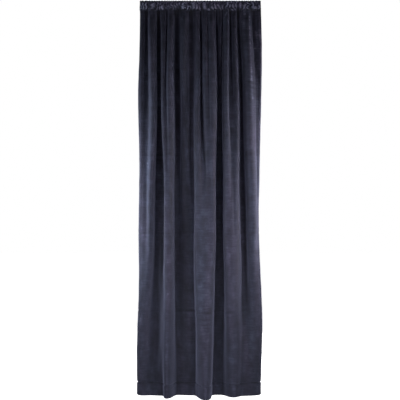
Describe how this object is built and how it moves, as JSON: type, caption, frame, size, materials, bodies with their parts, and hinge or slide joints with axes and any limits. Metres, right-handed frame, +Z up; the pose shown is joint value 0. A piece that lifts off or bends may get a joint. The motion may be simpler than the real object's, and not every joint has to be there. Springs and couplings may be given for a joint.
{
  "type": "gathered velvet curtain panel",
  "caption": "Dark navy velvet curtain panel, drawn up along a narrow gathered heading and hanging in soft uneven folds that merge towards a deep hem.",
  "frame": {"origin": "middle of the heading's top edge, on the line of the rail that holds the curtain", "axes": "+Z up along the drop, +X to the right across the curtain as seen from the front, -Y out of its face towards the room"},
  "size_m": [0.8051, 0.1945, 2.5041],
  "materials": {
    "heading_velvet": "gathered navy velvet, soft sheen",
    "panel_velvet": "navy velvet with a short uneven pile, soft sheen"
  },
  "bodies": {
    "root": {"heading": "heading_velvet", "panel": "panel_velvet"}
  },
  "joints": []
}
